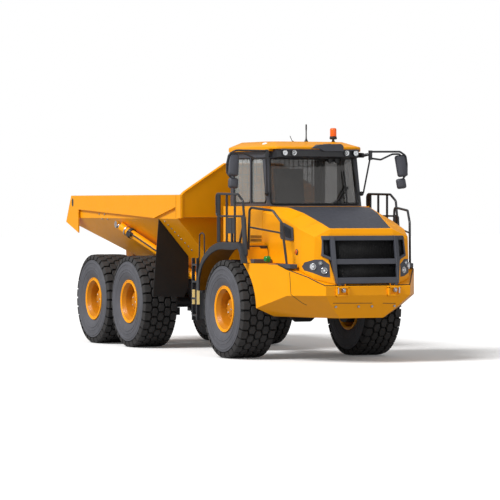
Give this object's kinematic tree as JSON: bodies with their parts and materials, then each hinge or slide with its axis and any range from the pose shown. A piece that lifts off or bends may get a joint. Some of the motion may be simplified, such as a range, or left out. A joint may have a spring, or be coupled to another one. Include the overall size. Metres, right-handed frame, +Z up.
{
  "type": "articulated dump truck",
  "caption": "Articulated six-wheel dump truck: cab and tilting bonnet in front, steering and oscillating hitch, and a tipping bin over two rear axles.",
  "frame": {"origin": "on the ground under the middle of the whole truck's length and width", "axes": "+X forward, +Y to the driver's left, +Z up"},
  "size_m": [9.09, 3.059, 3.552],
  "materials": {
    "yellow": "glossy yellow paint",
    "chassis": "satin dark paint",
    "charcoal": "matte charcoal plastic",
    "engine": "dull dark iron",
    "steel": "bare steel",
    "rails": "satin black paint",
    "chrome": "polished chrome",
    "glass": "tinted clear glass",
    "fabric": "black woven fabric",
    "rubber": "dull black rubber",
    "tyre": "dull black tyre rubber",
    "amber": "glossy amber plastic",
    "lamp": "clear lamp plastic"
  },
  "bodies": {
    "front": {"front_frame": "chassis", "frame_brackets": "chassis", "engine_block": "engine", "cooling_pack": "engine", "front_axle": "chassis", "front_struts": "steel", "bumper": "yellow", "tow_lugs": "steel", "mudguards": "charcoal", "cab_body": "yellow", "cab_frame": "charcoal", "cab_roof": "yellow", "roof_visor": "charcoal", "windscreen": "glass", "cab_windows": "glass", "seat": "fabric", "cab_console": "charcoal", "mirrors": "charcoal", "handrails": "rails", "steps": "rails", "beacon": "amber", "roof_lamps": "lamp"},
    "hitch": {"hitch": "chassis"},
    "rear": {"rear_frame": "chassis", "walking_beams": "chassis", "middle_axle": "chassis", "rear_axle": "chassis", "drive_shaft": "steel"},
    "bin": {"bin": "yellow", "bin_flaps": "rubber"},
    "bonnet": {"bonnet": "yellow", "bonnet_panel": "charcoal", "grille": "charcoal", "headlamps": "lamp"},
    "door": {"door": "yellow", "door_glass": "glass"},
    "wheel_front_left": {"tyre_front_left": "tyre", "rim_front_left": "yellow"},
    "wheel_front_right": {"tyre_front_right": "tyre", "rim_front_right": "yellow"},
    "wheel_middle_left": {"tyre_middle_left": "tyre", "rim_middle_left": "yellow"},
    "wheel_middle_right": {"tyre_middle_right": "tyre", "rim_middle_right": "yellow"},
    "wheel_rear_left": {"tyre_rear_left": "tyre", "rim_rear_left": "yellow"},
    "wheel_rear_right": {"tyre_rear_right": "tyre", "rim_rear_right": "yellow"},
    "tip_barrel_left": {"tip_barrel_left": "yellow"},
    "tip_rod_left": {"tip_rod_left": "chrome"},
    "tip_barrel_right": {"tip_barrel_right": "yellow"},
    "tip_rod_right": {"tip_rod_right": "chrome"},
    "steer_barrel_left": {"steer_barrel_left": "chassis"},
    "steer_rod_left": {"steer_rod_left": "chrome"},
    "steer_barrel_right": {"steer_barrel_right": "chassis"},
    "steer_rod_right": {"steer_rod_right": "chrome"}
  },
  "joints": [
    {"name": "steering", "type": "hinge", "parent": "front", "child": "hitch", "pos_m": [1.005, 0, 0.88], "axis": [0, 0, 1], "range_deg": [-45, 45]},
    {"name": "oscillation", "type": "hinge", "parent": "hitch", "child": "rear", "pos_m": [0.505, 0, 0.88], "axis": [1, 0, 0], "continuous": true},
    {"name": "bin_tip", "type": "hinge", "parent": "rear", "child": "bin", "pos_m": [-3.595, 0, 1.13], "axis": [0, -1, 0], "range_deg": [0, 70]},
    {"name": "bonnet_tilt", "type": "hinge", "parent": "front", "child": "bonnet", "pos_m": [4.445, 0, 1.162], "axis": [0, 1, 0], "range_deg": [0, 65]},
    {"name": "door_swing", "type": "hinge", "parent": "front", "child": "door", "pos_m": [2.058, 0.913, 2.06], "axis": [0, 0, -1], "range_deg": [0, 65]},
    {"name": "spin_front_left", "type": "hinge", "parent": "front", "child": "wheel_front_left", "pos_m": [2.255, 1.045, 0.746], "axis": [0, 1, 0], "continuous": true},
    {"name": "spin_front_right", "type": "hinge", "parent": "front", "child": "wheel_front_right", "pos_m": [2.255, -1.045, 0.746], "axis": [0, 1, 0], "continuous": true},
    {"name": "spin_middle_left", "type": "hinge", "parent": "rear", "child": "wheel_middle_left", "pos_m": [-1.545, 1.045, 0.746], "axis": [0, 1, 0], "continuous": true},
    {"name": "spin_middle_right", "type": "hinge", "parent": "rear", "child": "wheel_middle_right", "pos_m": [-1.545, -1.045, 0.746], "axis": [0, 1, 0], "continuous": true},
    {"name": "spin_rear_left", "type": "hinge", "parent": "rear", "child": "wheel_rear_left", "pos_m": [-3.105, 1.045, 0.746], "axis": [0, 1, 0], "continuous": true},
    {"name": "spin_rear_right", "type": "hinge", "parent": "rear", "child": "wheel_rear_right", "pos_m": [-3.105, -1.045, 0.746], "axis": [0, 1, 0], "continuous": true},
    {"name": "tip_swing_left", "type": "hinge", "parent": "rear", "child": "tip_barrel_left", "pos_m": [-0.315, 0.52, 1.08], "axis": [0.3723, -0.1713, 0.9122], "range_deg": [-0.5, 8.83]},
    {"name": "tip_slide_left", "type": "slide", "parent": "tip_barrel_left", "child": "tip_rod_left", "axis": [-0.8573, 0.3132, 0.4087], "range_m": [-0.01, 1.8095]},
    {"name": "tip_swing_right", "type": "hinge", "parent": "rear", "child": "tip_barrel_right", "pos_m": [-0.315, -0.52, 1.08], "axis": [-0.3723, -0.1713, -0.9122], "range_deg": [-0.5, 8.83]},
    {"name": "tip_slide_right", "type": "slide", "parent": "tip_barrel_right", "child": "tip_rod_right", "axis": [-0.8573, -0.3132, 0.4087], "range_m": [-0.01, 1.8095]},
    {"name": "steer_swing_left", "type": "hinge", "parent": "front", "child": "steer_barrel_left", "pos_m": [1.855, 0.35, 0.78], "axis": [0, 0, 1], "range_deg": [-3.33, 3.33]},
    {"name": "steer_slide_left", "type": "slide", "parent": "steer_barrel_left", "child": "steer_rod_left", "axis": [-0.9921, -0.1253, 0], "range_m": [-0.1833, 0.1833]},
    {"name": "steer_swing_right", "type": "hinge", "parent": "front", "child": "steer_barrel_right", "pos_m": [1.855, -0.35, 0.78], "axis": [0, 0, 1], "range_deg": [-3.33, 3.33]},
    {"name": "steer_slide_right", "type": "slide", "parent": "steer_barrel_right", "child": "steer_rod_right", "axis": [-0.9921, 0.1253, 0], "range_m": [-0.1833, 0.1833]}
  ],
  "couplings": [
    {"joint": "tip_swing_left", "follows": "bin_tip", "ratio": 0.11904},
    {"joint": "tip_slide_left", "follows": "bin_tip", "m_per_rad": 1.4647},
    {"joint": "tip_swing_right", "follows": "bin_tip", "ratio": 0.11904},
    {"joint": "tip_slide_right", "follows": "bin_tip", "m_per_rad": 1.4647},
    {"joint": "steer_swing_left", "follows": "steering", "ratio": 0.051679},
    {"joint": "steer_slide_left", "follows": "steering", "m_per_rad": 0.22069},
    {"joint": "steer_swing_right", "follows": "steering", "ratio": 0.051679},
    {"joint": "steer_slide_right", "follows": "steering", "m_per_rad": -0.22069}
  ]
}
